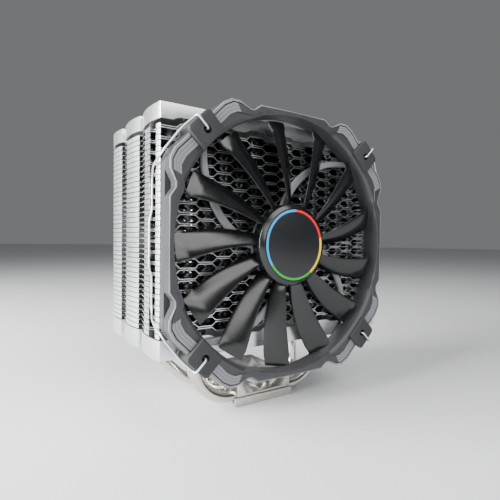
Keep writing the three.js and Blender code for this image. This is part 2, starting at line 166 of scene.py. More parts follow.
class FrameSettings(bpy.types.PropertyGroup):
    """Sizes of the fan's frame, struts and corner pads."""

    rim_front: length("Rim front", "Depth of the frame's front face", 1.8)
    flange_front: length("Flange front", "Depth at which the rear flange begins", 8.5)
    bore: length("Bore radius", "Radius of the air passage", 67.4)
    bore_flare: length("Bore flare", "Widening of the bore's front edge at the lobes", 1.8)
    screw_offset: length("Hole offset", "Half the spacing of the screw holes", 52.5)
    ridge: length("Ridge", "Width of the ridge along the outer edge", 1.4)
    strip: length("Strip", "Width of the grooved strip inside the ridge", 4.2)
    groove: length("Groove", "Width of the groove between the ridge and the strip", 0.6)
    groove_depth: length("Groove depth", "Depth of that groove", 0.9)
    line: length("Line", "Width of the fine lines along the strip", 0.14)
    edge: length("Edge", "Softening of the ring's edges", 0.4)
    face_drop: length("Face drop", "How far the face round the bore lies below the strip", 0.5)
    strut_width: length("Strut width", "Width of a rear strut", 5)
    strut_front: length("Strut front", "Depth at which the struts begin", 10.4)
    strut_back: length("Strut back", "Depth at which the struts end", 12.6)
    strut_turn: angle("Strut turn", "Angle that a strut turns from rim to motor", 45)
    motor_radius: length("Motor base radius", "Radius of the rear motor base", 20.5)
    pad_width: length("Pad width", "Width of a corner pad along the cut corner", 15)
    pad_inner: length("Pad inner edge", "Fan's centre to the inner edge of a pad", 68.5)
    pad_outer: length("Pad outer edge", "Fan's centre to the outer edge of a pad", 81)
    pad_corner: length("Pad corner", "Rounding of a pad's outer corners", 2.2)
    pad_web_inner: length("Pad web edge", "Fan's centre to the web between a pad's plates", 71)
    pad_web_width: length("Pad web width", "Width of the web between a pad's plates", 9)
    pad_plate: length("Pad plate", "Thickness of a pad's front plate", 2.6)
    pad_proud: length("Pad proud", "How far a pad stands in front of the hub's plane", 0.5)
    pad_hole: length("Pad hole radius", "Radius of the hole in a pad", 2)


class RotorSettings(bpy.types.PropertyGroup):
    """Sizes of the rotor."""

    hub_radius: length("Hub radius", "Outside radius of the hub", 21.75)
    hub_depth: length("Hub depth", "Depth of the hub from front to back", 8)
    hub_shoulder: length("Hub shoulder", "Depth at which the hub's sloping rim ends", 2)
    tip_radius: length("Tip radius", "Radius of the blade tips", 65.2)
    thickness: length("Blade thickness", "Greatest thickness of a blade, along the axle", 1.8)
    tip_angle: angle("Tip angle", "Leading edge of the first blade's tip", -89.2)
    sweep: angle("Sweep", "Angle that a blade's tip leads its root", 8)
    root_chord: angle("Root chord", "Angle that a blade covers at the hub", 16)
    tip_chord: angle("Tip chord", "Angle that a blade covers at its tip", 12.3)
    blades: bpy.props.IntProperty(
        name="Blades", description="Number of blades", default=13, min=3, max=20
    )
    ring_inner: length("Ring inner radius", "Inner radius of the coloured ring", 17.4)
    ring_outer: length("Ring outer radius", "Outer radius of the coloured ring", 18.7)


class ClipSettings(bpy.types.PropertyGroup):
    """Sizes of the wire clips."""

    radius: length("Wire radius", "Half the diameter of the spring wire", 0.5)
    bend: length("Wire bend", "Radius of the bends in the wire", 1.5)


class BaseSettings(bpy.types.PropertyGroup):
    """Sizes of the contact base."""

    edge: length("Edge", "Rounding of the machined edges", 0.5)
    groove_radius: length("Groove radius", "Radius of the pipe grooves", 3.15)
    rib: length("Rib", "Half the width of the upright rib between the pockets", 3)
    pocket_width: length("Pocket width", "Half the width across both pockets", 14)
    pocket_low: length("Pocket low", "Height of the pockets' lowest corner", 7.6)
    pocket_depth: length("Pocket depth", "Depth of the pockets", 3.2)


class FinishSettings(bpy.types.PropertyGroup):
    """Colours of the finishes."""

    # The fin sheet's colour is darkened as painted shade between the fins, and the near-white
    # colour of its edges and tabs is a painted highlight
    aluminium: colour("Fin aluminium", "Rolled sheet", "#7E8083")
    sheared: colour("Sheared aluminium", "Sheared edges and folded tabs", "#ECEDEF")
    cap: colour("Cap aluminium", "Brushed sheet", "#E9EAEC")
    nickel: colour("Nickel", "Nickel plating on copper", "#D2CFC8")
    steel: colour("Spring steel", "Drawn spring wire", "#C9CACC")
    frame_grey: colour("Frame grey", "Moulded strips and struts", "#77787C")
    frame_dark: colour("Frame charcoal", "Moulded frame", "#313235")
    blade: colour("Blade black", "Moulded blades and hub", "#0E0F10")
    rubber: colour("Pad rubber", "Corner pads", "#232426")
    badge: colour("Badge black", "Printed film on the hub", "#17191C")
    blue: colour("Blue ink", "Blue part of the ring", "#2E9BDC")
    red: colour("Red ink", "Red part of the ring", "#D8262C")
    yellow: colour("Yellow ink", "Yellow part of the ring", "#F0C820")
    green: colour("Green ink", "Green part of the ring", "#2F9E3A")
    ferrite: colour("Ferrite", "Sintered magnet ring", "#2B2826")
    copper: colour("Copper", "Enamelled winding wire", "#A2561F")
    laminate: colour("Laminate", "Solder mask on the motor board", "#1B4A30")
    brass: colour("Brass", "Turned bearing sleeve", "#B08D45")
    floor: colour("Floor", "Pale matt floor", "#D9DADB")


class StageSettings(bpy.types.PropertyGroup):
    """Camera, floor and lights."""

    camera_place: bpy.props.FloatVectorProperty(
        name="Camera place",
        description="Where the camera stands",
        default=(-0.13942, -0.21549, 0.09417),
        subtype="TRANSLATION",
        precision=5,
    )
    yaw: angle("Yaw", "Camera's turn from +Y towards +X", 33.408)
    pitch: angle("Pitch", "Camera's tilt above the horizon", -1.471)
    roll: angle("Roll", "Camera's turn about its own axis", 0.681)
    lens: bpy.props.FloatProperty(
        name="Focal length", description="In millimetres on a 36 mm sensor", default=29.63
    )
    sky: colour("Surround", "Plain studio surround", "#E6E8EA")
    sky_strength: bpy.props.FloatProperty(
        name="Surround strength", description="Brightness of the surround", default=0.22
    )
    key: power("Key light", "Power of the light on the left", 38)
    fill: power("Fill light", "Power of the light on the front left", 4)
    top: power("Top light", "Power of the light above the fan", 6)


# ---------------------------------------------------------------- mesh helpers


def new_piece(bm, name, *materials, sharp=35):
    """Makes an object of a bmesh, smooth except where its faces meet at a sharp angle."""
    mesh = bpy.data.meshes.new(name)
    bm.to_mesh(mesh)
    bm.free()
    for material in materials:
        mesh.materials.append(material)
    mesh.shade_smooth()
    mesh.set_sharp_from_angle(angle=math.radians(sharp))
    piece = bpy.data.objects.new(name, mesh)
    bpy.context.scene.collection.objects.link(piece)
    return piece


def stand_for(piece, body, slot, *nodes):
    """The piece rides on a body and stands for CAD nodes, which it hides. The slot is not used."""
    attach(piece, body)
    if nodes:
        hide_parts(*nodes)
    return piece


def mapped_grid(bm, columns, rows, place, paint=None):
    """Adds a grid and moves each corner to place(column, row), both counted from 0.

    With paint, each face takes the material slot paint(column, row) of its first corner.
    """
    grid = bmesh.ops.create_grid(bm, x_segments=columns, y_segments=rows, size=0.5)
    if paint:
        for face in faces_of(grid["verts"]):
            column = round((min(vert.co.x for vert in face.verts) + 0.5) * columns)
            row = round((min(vert.co.y for vert in face.verts) + 0.5) * rows)
            face.material_index = paint(column, row)
    for vert in grid["verts"]:
        column = round((vert.co.x + 0.5) * columns)
        row = round((vert.co.y + 0.5) * rows)
        vert.co = place(column, row)
    return grid["verts"]


def faces_of(verts):
    """The faces that use any of these corners."""
    return list({face for vert in verts for face in vert.link_faces})


def weld(bm, distance=1e-6):
    """Merges doubles and turns the faces outwards."""
    bmesh.ops.remove_doubles(bm, verts=bm.verts[:], dist=distance)
    bmesh.ops.dissolve_degenerate(bm, edges=bm.edges[:], dist=distance)
    bmesh.ops.recalc_face_normals(bm, faces=bm.faces[:])


def soften(bm, edges, width, **more):
    """Rounds edges off over a width."""
    bmesh.ops.bevel(
        bm,
        geom=edges,
        offset=width,
        segments=3,
        profile=0.5,
        affect="EDGES",
        material=-1,
        **more,
    )


def rounded_box(bm, low, high, edge):
    """Adds a box between two corners, with rounded edges."""
    low, high = Vector(low), Vector(high)
    cube = bmesh.ops.create_cube(bm, size=1)
    bmesh.ops.scale(bm, vec=high - low, verts=cube["verts"])
    bmesh.ops.translate(bm, vec=(low + high) / 2, verts=cube["verts"])
    soften(bm, list({e for v in cube["verts"] for e in v.link_edges}), edge)


def plate_solid(bm, outline, front, back, edge=0):
    """Adds a plate with an outline of (x, z) points and softened front and back edges."""
    face = bm.faces.new([bm.verts.new((x, front, z)) for x, z in outline])
    grown = bmesh.ops.extrude_face_region(bm, geom=[face])
    moved = [v for v in grown["geom"] if isinstance(v, bmesh.types.BMVert)]
    bmesh.ops.translate(bm, vec=(0, back - front, 0), verts=moved)
    made = faces_of(moved + face.verts[:])
    bmesh.ops.recalc_face_normals(bm, faces=made)
    if edge:
        level = {e for f in made for e in f.edges if abs(e.verts[0].co.y - e.verts[1].co.y) < 1e-9}
        soften(bm, list(level), edge)


def cylinder(bm, radius, start, end, segments=48):
    """Adds a capped cylinder between two points."""
    start, end = Vector(start), Vector(end)
    along = end - start
    made = bmesh.ops.create_cone(
        bm,
        cap_ends=True,
        segments=segments,
        radius1=radius,
        radius2=radius,
        depth=along.length,
    )
    turn = along.to_track_quat("Z", "Y").to_matrix()
    bmesh.ops.rotate(bm, cent=(0, 0, 0), matrix=turn, verts=made["verts"])
    bmesh.ops.translate(bm, vec=(start + end) / 2, verts=made["verts"])
    return made["verts"]


def turned(bm, profile, steps=96):
    """Adds a body turned round the fan's axle from [radius, depth behind the frame's front]."""
    verts = [bm.verts.new((radius, FAN_FRONT + depth, FAN_Z)) for radius, depth in profile]
    edges = [bm.edges.new(pair) for pair in zip(verts, verts[1:])]
    bmesh.ops.spin(
        bm,
        geom=verts + edges,
        cent=(0, 0, FAN_Z),
        axis=(0, 1, 0),
        angle=2 * math.pi,
        steps=steps,
        use_merge=True,
    )


def fan_point(radius, turn, depth):
    """A point from its radius and angle round the fan and its depth behind the frame's front."""
    return Vector((radius * math.cos(turn), FAN_FRONT + depth, FAN_Z + radius * math.sin(turn)))


def lerp(low, high, share):
    """The value at a share of the way from low to high."""
    return low + (high - low) * share


def smooth_share(value, low, high):
    """A share from 0 to 1 that starts and ends gently."""
    share = min(max((value - low) / (high - low), 0), 1)
    return share * share * (3 - 2 * share)


def tube_mesh(points, radius, sides=6):
    """The bmesh of a closed round bar along a line of points."""
    curve = bpy.data.curves.new("tube", "CURVE")
    curve.dimensions = "3D"
    curve.bevel_depth = radius
    curve.bevel_resolution = sides
    curve.use_fill_caps = True
    spline = curve.splines.new("POLY")
    spline.points.add(len(points) - 1)
    for point, place in zip(spline.points, points):
        point.co = (*place, 1)
    holder = bpy.data.objects.new("tube", curve)
    bpy.context.scene.collection.objects.link(holder)
    bpy.context.view_layer.update()
    depsgraph = bpy.context.evaluated_depsgraph_get()
    mesh = bpy.data.meshes.new_from_object(holder.evaluated_get(depsgraph))
    bm = bmesh.new()
    bm.from_mesh(mesh)
    bpy.data.objects.remove(holder)
    bpy.data.curves.remove(curve)
    bpy.data.meshes.remove(mesh)
    weld(bm)
    return bm


def rounded_path(points, radius, steps=6):
    """The points of a line with its corners rounded."""
    points = [Vector(p) for p in points]
    path = [points[0]]
    for before, corner, after in zip(points, points[1:], points[2:]):
        reach = min(radius, (before - corner).length * 0.49, (after - corner).length * 0.49)
        start = corner + (before - corner).normalized() * reach
        end = corner + (after - corner).normalized() * reach
        for i in range(steps + 1):
            share = i / steps
            path.append(start.lerp(corner, share).lerp(corner.lerp(end, share), share))
    path.append(points[-1])
    return path


def cut(piece, bm):
    """Takes a bmesh of closed cutters out of a piece."""
    bmesh.ops.recalc_face_normals(bm, faces=bm.faces[:])
    mesh = bpy.data.meshes.new("cutter")
    bm.to_mesh(mesh)
    bm.free()
    cutter = bpy.data.objects.new("cutter", mesh)
    bpy.context.scene.collection.objects.link(cutter)
    step = piece.modifiers.new("cut", "BOOLEAN")
    step.operation = "DIFFERENCE"
    step.solver = "EXACT"
    step.use_self = True
    step.object = cutter
    bpy.context.view_layer.update()
    depsgraph = bpy.context.evaluated_depsgraph_get()
    made = bpy.data.meshes.new_from_object(piece.evaluated_get(depsgraph))
    piece.modifiers.clear()
    old = piece.data
    piece.data = made
    made.name = old.name
    bpy.data.meshes.remove(old)
    bpy.data.objects.remove(cutter)
    bpy.data.meshes.remove(mesh)
    if not made.polygons:
        raise RuntimeError(f"nothing is left of {piece.name} after its cut")
    return piece


# ---------------------------------------------------------------- materials


def add_node(tree, kind, settings=(), values=(), links=()):
    """Adds a node with its settings, socket values and incoming links."""
    node = tree.nodes.new(kind)
    for name, value in dict(settings).items():
        setattr(node, name, value)
    for socket, value in dict(values).items():
        node.inputs[socket].default_value = value
    for socket, source in dict(links).items():
        tree.links.new(source, node.inputs[socket])
    return node


def new_material(name, base, values):
    """A material with one shader, and that shader's node."""
    material = bpy.data.materials.new(name)
    material.use_nodes = True
    tree = material.node_tree
    tree.nodes.clear()
    shader = add_node(
        tree, "ShaderNodeBsdfPrincipled", values={"Base Color": (*base, 1), **values}
    )
    output = tree.nodes.new("ShaderNodeOutputMaterial")
    tree.links.new(shader.outputs["BSDF"], output.inputs["Surface"])
    return material, tree, shader


def grain(tree, spacing, stretch=(1, 1, 1), detail=3):
    """A noise whose grains are about one spacing across, stretched along the axes."""
    place = add_node(tree, "ShaderNodeTexCoord")
    scale = [1 / (spacing * s) for s in stretch]
    mapping = add_node(
        tree,
        "ShaderNodeMapping",
        values={"Scale": scale},
        links={"Vector": place.outputs["Object"]},
    )
    return add_node(
        tree,
        "ShaderNodeTexNoise",
        values={"Scale": 1, "Detail": detail, "Roughness": 0.6},
        links={"Vector": mapping.outputs["Vector"]},
    ).outputs["Fac"]


def spread(tree, source, low, high):
    """A pattern brought to run between two values."""
    return add_node(
        tree,
        "ShaderNodeMapRange",
        values={"From Min": 0.3, "From Max": 0.7, "To Min": low, "To Max": high},
        links={"Value": source},
    ).outputs["Result"]


def tint(tree, source, first, second):
    """Two colours mixed by a pattern."""
    return add_node(
        tree,
        "ShaderNodeMix",
        settings={"data_type": "RGBA"},
        values={"A": (*first, 1), "B": (*second, 1)},
        links={"Factor": source},
    ).outputs["Result"]


def shade(base, factor):
    """A colour made darker or lighter."""
    return [min(1, c * factor) for c in base]


def bump(tree, shader, source, height):
    """Raises a surface by a pattern, with its full height in metres."""
    node = add_node(
        tree,
        "ShaderNodeBump",
        values={"Strength": 1, "Distance": height},
        links={"Height": source},
    )
    tree.links.new(node.outputs["Normal"], shader.inputs["Normal"])


def wound_turns(tree, spacing):
    """Bands one spacing apart, like turns of wire laid side by side."""
    place = add_node(tree, "ShaderNodeTexCoord")
    return add_node(
        tree,
        "ShaderNodeTexWave",
        settings={"bands_direction": "Y"},
        values={"Scale": 0.05 / spacing, "Distortion": 1},
        links={"Vector": place.outputs["Object"]},
    ).outputs["Fac"]


METAL = {"Metallic": 1}

# Each finish: its colour setting, its shader constants if it isn't bare metal, the pattern's
# spacing in mm, its stretch and detail, the roughness and the tones that the pattern runs
# between, and the height in mm that the pattern, or a finer grain, raises the surface by
FINISHES = {
    # Aluminium sheet as rolled: a dull mirror, with faint lines along the coil, its colour
    # darkened as painted shade between the fins
    "rolled_aluminium": dict(
        colour="aluminium", spacing=0.5, stretch=(40, 1, 1),
        roughness=(0.2, 0.34), tones=(0.93, 1), height=0.01,
    ),
    # Edges and folded tabs of that sheet: rougher, and painted much brighter than its face as a
    # painted highlight
    "sheared_aluminium": dict(
        colour="sheared", spacing=0.4, stretch=(1, 1, 8),
        roughness=(0.3, 0.42), tones=(0.94, 1), height=0.01,
    ),
    # Aluminium sheet, brushed along its length: satin, with fine level scratches
    "brushed_aluminium": dict(
        colour="cap", spacing=0.35, stretch=(60, 1, 1), detail=5,
        roughness=(0.24, 0.44), tones=(0.86, 1), height=0.02,
    ),
    # Nickel plated on drawn copper: a warm mirror, softened by slight waves
    "plated_nickel": dict(
        colour="nickel", spacing=3,
        roughness=(0.12, 0.24), tones=(0.92, 1), height=0.03,
    ),
    # Nickel plated on a milled base: satin, with the mill's parallel marks
    "machined_nickel": dict(
        colour="nickel", spacing=0.6, stretch=(30, 1, 1),
        roughness=(0.22, 0.36), tones=(0.9, 1), height=0.015,
    ),
    # Drawn spring wire: bright, with die lines too fine to count
    "spring_steel": dict(
        colour="steel", spacing=0.4, stretch=(1, 1, 12),
        roughness=(0.18, 0.3), tones=(0.88, 1),
    ),
    # Injection moulded ABS with a spark-eroded texture: satin, slightly mottled
    "frame_grey_abs": dict(
        colour="frame_grey", shader={"IOR": 1.53}, spacing=9,
        roughness=(0.42, 0.52), tones=(0.9, 1.08), height=0.02, fine=0.35,
    ),
    # The same plastic in charcoal, which also stands as painted shade inside the ring's grooves
    "frame_dark_abs": dict(
        colour="frame_dark", shader={"IOR": 1.53}, spacing=9,
        roughness=(0.42, 0.52), tones=(0.9, 1.08), height=0.02, fine=0.35,
    ),
    # Moulded PBT, polished more than the frame: semi-gloss, near black
    "blade_pbt": dict(
        colour="blade", shader={"IOR": 1.53}, spacing=9,
        roughness=(0.16, 0.26), tones=(0.9, 1.08), height=0.02, fine=0.5,
    ),
    # Moulded soft rubber: matt, with a dusty bloom
    "moulded_rubber": dict(
        colour="rubber", shader={"IOR": 1.52}, spacing=4,
        roughness=(0.62, 0.85), tones=(1, 1.5), height=0.03, fine=0.3,
    ),
    # Sintered ferrite: matt near black, with coarse pores
    "sintered_ferrite": dict(
        colour="ferrite", shader={"Metallic": 0.2}, spacing=0.5,
        roughness=(0.55, 0.8), height=0.04,
    ),
    # Enamelled winding wire 0.2 mm thick, laid in turns
    "wound_copper": dict(
        colour="copper", spacing=0.2, turns=True,
        roughness=(0.3, 0.45), tones=(0.4, 1), height=0.1,
    ),
    # Glass laminate under solder mask: semi-gloss, with the weave just showing
    "glass_laminate": dict(
        colour="laminate", shader={"IOR": 1.5}, spacing=0.6,
        roughness=(0.3, 0.45), tones=(0.8, 1.2),
    ),
    # Turned brass: bright, with fine rings from the tool
    "turned_brass": dict(
        colour="brass", spacing=0.3, stretch=(20, 1, 20),
        roughness=(0.2, 0.35), tones=(0.85, 1),
    ),
    # Painted studio floor: pale and matt, without a pattern that would catch the eye
    "matt_floor": dict(
        colour="floor", shader={"IOR": 1.45}, spacing=90,
        roughness=(0.75, 0.85), tones=(0.985, 1),
    ),
}

# Printed polyester film: smooth and even, with a weak orange peel
INKS = {"badge_film": "badge", "blue_ink": "blue", "red_ink": "red"}
INKS |= {"yellow_ink": "yellow", "green_ink": "green"}
for film, setting in INKS.items():
    FINISHES[film] = dict(
        colour=setting, shader={"IOR": 1.5}, spacing=1.5,
        roughness=(0.3, 0.4), tones=(0.94, 1), height=0.008,
    )


def make_finish(
    name, colour, spacing, roughness, shader=METAL,
    stretch=(1, 1, 1), detail=3, tones=(1, 1), height=0, fine=None, turns=False,
):
    """Makes the material of one row of the table."""
    base = getattr(bpy.context.scene.cooler_finish, colour)
    material, tree, node = new_material(name, base, shader)
    if turns:
        pattern = wound_turns(tree, spacing * MM)
    else:
        pattern = grain(tree, spacing * MM, stretch, detail)
    tree.links.new(spread(tree, pattern, *roughness), node.inputs["Roughness"])
    low, high = (shade(base, tone) for tone in tones)
    tree.links.new(tint(tree, pattern, low, high), node.inputs["Base Color"])
    if height:
        raised = grain(tree, fine * MM) if fine else pattern
        bump(tree, node, raised, height * MM)
    return material


def finish(name):
    """The named material, made when it is first asked for."""
    return bpy.data.materials.get(name) or make_finish(name, **FINISHES[name])


# ---------------------------------------------------------------- fin stack

# The stack's three bays: front edge, back edge, and half widths at front, middle and back
BAYS = (
    (STACK_FRONT, -6.3 * MM, 69.7 * MM, 70.9 * MM, 68.6 * MM),
    (-4.9 * MM, 20.7 * MM, 69.8 * MM, 71.0 * MM, 69.4 * MM),
    (25.4 * MM, STACK_BACK, 70.0 * MM, 70.6 * MM, 67.8 * MM),
)
NOTCH_CREST = 0.15 * MM  # how far a notch's wall leans over its depth
CLIP_RECESS = (-30.3 * MM, -23.6 * MM)
CLIP_RECESS_DEPTH = 2.2 * MM
# Stretches of the side where the fins are folded down into a closed wall, front to back
SIDE_TABS = (
    (-34.0 * MM, -30.5 * MM),
    (-23.4 * MM, -15.8 * MM),
    (-4.8 * MM, 13.7 * MM),
    (25.5 * MM, 42.5 * MM),
)
COLUMN_STEP = 2 * MM
HIVE_FADE = 2 * MM  # stretch over which the bent front strip runs out into the flat fin
HOLE_GAP = 0.1 * MM  # gap between a pipe and a fin's hole
CAP_HOLE_GAP = 0.3 * MM  # gap between a pipe and the bottom cap's hole
TAB_PROUD = 0.02 * MM  # how far a tab stands out from its fin's edge


def bay_half_width(y, bay):
    """Half the width of a bay, which bulges between its ends."""
    start, end, front, middle, back = bay
    s = (y - start) / (end - start)
    return (
        front * (1 - s) * (1 - 2 * s) + middle * 4 * s * (1 - s) + back * s * (2 * s - 1)
    )


def half_width(y, stack):
    """Half the width of the stack at y, with its notches and rounded front corners."""
    radius = stack.corner_radius
    for bay in BAYS:
        if bay[0] - 1e-9 <= y <= bay[1] + 1e-9:
            inset = 0
            near = y - STACK_FRONT
            if near < radius:
                inset = radius - math.sqrt(radius**2 - (radius - near) ** 2)
            return bay_half_width(y, bay) - inset * 0.6
    return STACK_HALF_WIDTH - stack.notch_depth


def stack_rows(hive_depth, with_recess):
    """The y of each row of corners across the stack, from front to back."""
    rows = {STACK_FRONT + step * MM for step in (0, 0.2, 0.6, 1.2, 2, 3)}
    rows |= {STACK_FRONT + hive_depth, STACK_FRONT + hive_depth + HIVE_FADE}
    for start, end, *_ in BAYS:
        rows |= {lerp(start, end, i / 7) for i in range(8)}
    for bay, after in zip(BAYS, BAYS[1:]):
        rows |= {bay[1] + NOTCH_CREST, after[0] - NOTCH_CREST}
    if with_recess:
        for y in CLIP_RECESS:
            rows |= {y - 0.05 * MM, y + 0.05 * MM}
    ordered = sorted(rows)
    kept = ordered[:1]
    for y in ordered[1:]:
        if y - kept[-1] > 0.09 * MM:
            kept.append(y)
    return kept


def hive_wave(x, stack):
    """The bent front strip's height at x, from -1 to 1: flats joined by slopes."""
    flat, slope = stack.hive_flat, stack.hive_slope
    place = (x + STACK_HALF_WIDTH) % (2 * (flat + slope))
    if place < flat:
        return 1
    if place < flat + slope:
        return 1 - 2 * (place - flat) / slope
    if place < 2 * flat + slope:
        return -1
    return -1 + 2 * (place - 2 * flat - slope) / slope


def stack_sheet(bm, stack, height, with_recess, side):
    """Adds the stack's plan outline as a sheet. A side of 0 leaves its front strip flat."""
    rows = stack_rows(stack.hive_depth, with_recess)
    columns = round(2 * STACK_HALF_WIDTH / COLUMN_STEP)
    hive_end = STACK_FRONT + stack.hive_depth

    def place(column, row):
        y = rows[row]
        x = lerp(-STACK_HALF_WIDTH, STACK_HALF_WIDTH, column / columns)
        width = half_width(y, stack)
        if with_recess and CLIP_RECESS[0] < y < CLIP_RECESS[1]:
            width -= CLIP_RECESS_DEPTH
        fade = 1 - smooth_share(y, hive_end, hive_end + HIVE_FADE)
        rise = side * stack.hive_height * hive_wave(x, stack) * fade
        return Vector((x * width / STACK_HALF_WIDTH, y, height + rise))

    return mapped_grid(bm, columns, len(rows) - 1, place)


def side_tab(bm, stack, start, end, side):
    """Adds one folded tab, which closes the side down to the next fin."""
    drop = FIN_PITCH - stack.tab_gap

    def place(column, row):
        y = lerp(start, end, column / 6)
        width = half_width(y, stack) + TAB_PROUD
        return Vector((side * width, y, FIN_THICKNESS - drop * row))

    verts = mapped_grid(bm, 6, 1, place)
    bm.normal_update()
    bmesh.ops.solidify(bm, geom=faces_of(verts), thickness=FIN_THICKNESS)


def riser_places():
    """The x and y of each heat pipe's riser, read from the frame."""
    places = []
    for i in range(1, 5):
        _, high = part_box(f"heat_pipe_{i}")
        corners = [v.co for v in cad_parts[f"heat_pipe_{i}"].data.vertices]
        tip = [c for c in corners if c.z > high.z - MM and c.x > 0]
        x = (min(c.x for c in tip) + max(c.x for c in tip)) / 2
        y = (min(c.y for c in tip) + max(c.y for c in tip)) / 2
        places += [(x, y), (-x, y)]
    return places


def fin_mesh(stack, pipe_radius, side):
    """The mesh of one fin with its underside at height 0."""
    bm = bmesh.new()
    stack_sheet(bm, stack, FIN_THICKNESS, True, side)
    bmesh.ops.solidify(bm, geom=bm.faces[:], thickness=FIN_THICKNESS)
    weld(bm, 1e-7)
    plate = new_piece(bm, "fin_plate", finish("rolled_aluminium"))
    holes = bmesh.new()
    for x, y in riser_places():
        cylinder(holes, pipe_radius + HOLE_GAP, (x, y, -4 * MM), (x, y, 4 * MM), 24)
    cut(plate, holes)
    bm = bmesh.new()
    bm.from_mesh(plate.data)
    bpy.data.objects.remove(plate)
    for x, y in riser_places():
        ring = bmesh.ops.create_cone(
            bm,
            cap_ends=False,
            segments=24,
            radius1=pipe_radius + HOLE_GAP + stack.collar_wall,
            radius2=pipe_radius + HOLE_GAP / 2 + stack.collar_wall,
            depth=stack.collar_height,
        )
        middle = FIN_THICKNESS + stack.collar_height / 2
        bmesh.ops.translate(bm, vec=(x, y, middle), verts=ring["verts"])
        bmesh.ops.solidify(bm, geom=faces_of(ring["verts"]), thickness=stack.collar_wall)
    for start, end in SIDE_TABS:
        for edge in (-1, 1):
            side_tab(bm, stack, start, end, edge)
    bmesh.ops.recalc_face_normals(bm, faces=bm.faces[:])
    mesh = bpy.data.meshes.new("fin")
    bm.to_mesh(mesh)
    bm.free()
    mesh.materials.append(finish("rolled_aluminium"))
    mesh.materials.append(finish("sheared_aluminium"))
    # Faces that are not level (sheet edges, collars, side tabs) take the bright slot as a painted
    # highlight; the level faces take the darkened slot as painted shade between the fins
    for polygon in mesh.polygons:
        polygon.material_index = int(abs(polygon.normal.z) < 0.6)
    mesh.shade_smooth()
    mesh.set_sharp_from_angle(angle=math.radians(25))
    return mesh


def cap_tray(stack, name, node, upwards):
    """A shallow tray with the stack's outline and a skirt that follows the cells in front."""
    low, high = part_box(node)
    plate, rim = (low.z, high.z) if upwards else (high.z, low.z)
    toward = 1 if rim > plate else -1
    rim -= toward * stack.skirt_gap
    bm = bmesh.new()
    stack_sheet(bm, stack, plate, False, 0)
    edges = [e for e in bm.edges if e.is_boundary]
    grown = bmesh.ops.extrude_edge_only(bm, edges=edges)
    skirt = [v for v in grown["geom"] if isinstance(v, bmesh.types.BMVert)]
    for vert in skirt:
        vert.co.z = rim
        if vert.co.y < STACK_FRONT + 0.1 * MM:
            vert.co.z += toward * stack.hive_height * (hive_wave(vert.co.x, stack) - 1) * 0.9
    bmesh.ops.recalc_face_normals(bm, faces=bm.faces[:])
    rim_edges = [
        e
        for e in bm.edges
        if all(abs(v.co.z - plate) < 1e-7 for v in e.verts) and e.calc_face_angle(0) > 1
    ]
    soften(bm, rim_edges, stack.cap_bevel, clamp_overlap=True)
    bmesh.ops.solidify(bm, geom=bm.faces[:], thickness=stack.cap_wall)
    weld(bm, 1e-7)
    return new_piece(bm, name, finish("brushed_aluminium"), sharp=30)


class COOLER_OT_fins(bpy.types.Operator):
    """Build the fins, each with its bent front strip, side tabs and pipe collars"""

    bl_idname = "cooler.fins"
    bl_label = "Fins"

    def execute(self, context):
        stack = context.scene.cooler_stack
        kinds = [fin_mesh(stack, context.scene.cooler_pipes.radius, side) for side in (1, -1)]
        for i, node in enumerate(FIN_NODES):
            mesh = kinds[i % 2].copy()
            mesh.name = node + "_sheet"
            mesh.transform(Matrix.Translation((0, 0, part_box(node)[0].z)))
            piece = bpy.data.objects.new(node + "_sheet", mesh)
            context.scene.collection.objects.link(piece)
            stand_for(piece, "heatsink", "fin_aluminium", node)
        for mesh in kinds:
            bpy.data.meshes.remove(mesh)
        return {"FINISHED"}


class COOLER_OT_caps(bpy.types.Operator):
    """Build the brushed trays that close the stack above and below"""

    bl_idname = "cooler.caps"
    bl_label = "Caps"

    def execute(self, context):
        stack = context.scene.cooler_stack
        top = cap_tray(stack, "top_cap_tray", "top_cap", False)
        bottom = cap_tray(stack, "bottom_cap_tray", "bottom_cap", True)
        holes = bmesh.new()
        low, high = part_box("bottom_cap")
        radius = context.scene.cooler_pipes.radius + CAP_HOLE_GAP
        for x, y in riser_places():
            cylinder(holes, radius, (x, y, low.z - 3 * MM), (x, y, high.z), 32)
        cut(bottom, holes)
        stand_for(top, "heatsink", "cap_aluminium", "top_cap")
        stand_for(bottom, "heatsink", "cap_aluminium", "bottom_cap")
        return {"FINISHED"}


# ---------------------------------------------------------------- heat pipes and base

# Where each pipe lies in the base, and the radius of its bends
PIPE_BASES = (
    (-17 * MM, 22.6 * MM),
    (-5.7 * MM, 12.5 * MM),
    (5.7 * MM, 12.5 * MM),
    (17 * MM, 22.6 * MM),
)


def half_pipe(pipes, base_y, bend, riser, top_z):
    """The line of half a pipe, from its straight run in the base up to its tip."""
    riser_x, riser_y = riser
    centre_z = pipes.base_height
    run = riser_x - pipes.base_run - bend
    climb = run * math.tan(pipes.slope)
    steps = 8
    flat = []
    for i in range(steps + 1):
        a = pipes.slope * i / steps
        flat.append((pipes.base_run + bend * math.sin(a), bend * (1 - math.cos(a))))
    for i in range(0 if run > MM else 1, steps + 1):
        a = lerp(pipes.slope, math.pi / 2, i / steps)
        flat.append((pipes.base_run + run + bend * math.sin(a), climb + bend * (1 - math.cos(a))))
    line = [(x, centre_z + rise) for x, rise in flat]
    last = line[-1][1]
    upper = max(pipes.settled, last + MM)
    line += [(riser_x, lerp(last, upper, (i + 1) / 6)) for i in range(6)]
    line.append((riser_x, top_z))
    path = []
    for x, z in line:
        share = smooth_share(z, centre_z, pipes.settled)
        path.append(Vector((x, lerp(base_y, riser_y, share), z)))
    return path


